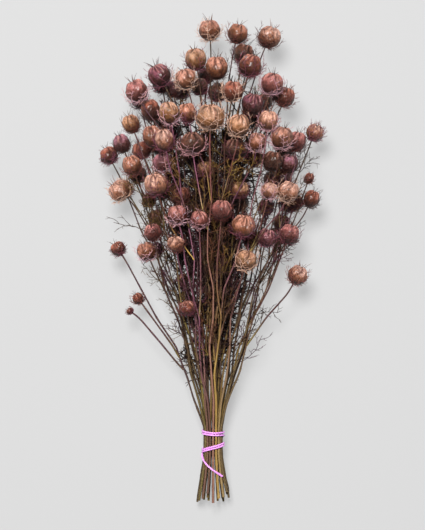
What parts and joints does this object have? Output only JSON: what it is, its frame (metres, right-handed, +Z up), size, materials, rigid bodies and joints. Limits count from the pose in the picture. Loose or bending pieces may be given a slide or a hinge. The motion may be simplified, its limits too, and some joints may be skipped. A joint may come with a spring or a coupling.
{
  "type": "tied bunch of dried nigella seed pods",
  "caption": "Bunch of dried love-in-a-mist stalks with papery round seed pods, held at the neck by a wound elastic band, lying on its side.",
  "frame": {"origin": "on the surface the bunch lies on, under the middle of its bounding box", "axes": "+Y along the bunch from the cut stem ends to the pods, +Z up from the surface, +X to the right when seen from above with the pods away from the viewer"},
  "size_m": [0.2432, 0.537, 0.1383],
  "materials": {
    "dried_plant": "dry, papery pods and woody stems, satin",
    "band": "smooth, slightly shiny pink elastic"
  },
  "bodies": {
    "root": {"stalk_01": "dried_plant", "stalk_02": "dried_plant", "stalk_03": "dried_plant", "stalk_04": "dried_plant", "stalk_05": "dried_plant", "stalk_06": "dried_plant", "stalk_07": "dried_plant", "stalk_08": "dried_plant", "stalk_09": "dried_plant", "stalk_10": "dried_plant", "stalk_11": "dried_plant", "stalk_12": "dried_plant", "stalk_13": "dried_plant", "stalk_14": "dried_plant", "stalk_15": "dried_plant", "stalk_16": "dried_plant", "stalk_17": "dried_plant", "stalk_18": "dried_plant", "stalk_19": "dried_plant", "stalk_20": "dried_plant", "stalk_21": "dried_plant", "stalk_22": "dried_plant", "stalk_23": "dried_plant", "stalk_24": "dried_plant", "stalk_25": "dried_plant", "stalk_26": "dried_plant", "stalk_27": "dried_plant", "stalk_28": "dried_plant", "stalk_29": "dried_plant", "stalk_30": "dried_plant", "stalk_31": "dried_plant", "stalk_32": "dried_plant", "stalk_33": "dried_plant", "stalk_34": "dried_plant", "stalk_35": "dried_plant", "stalk_36": "dried_plant", "stalk_37": "dried_plant", "tie_band": "band"}
  },
  "joints": []
}
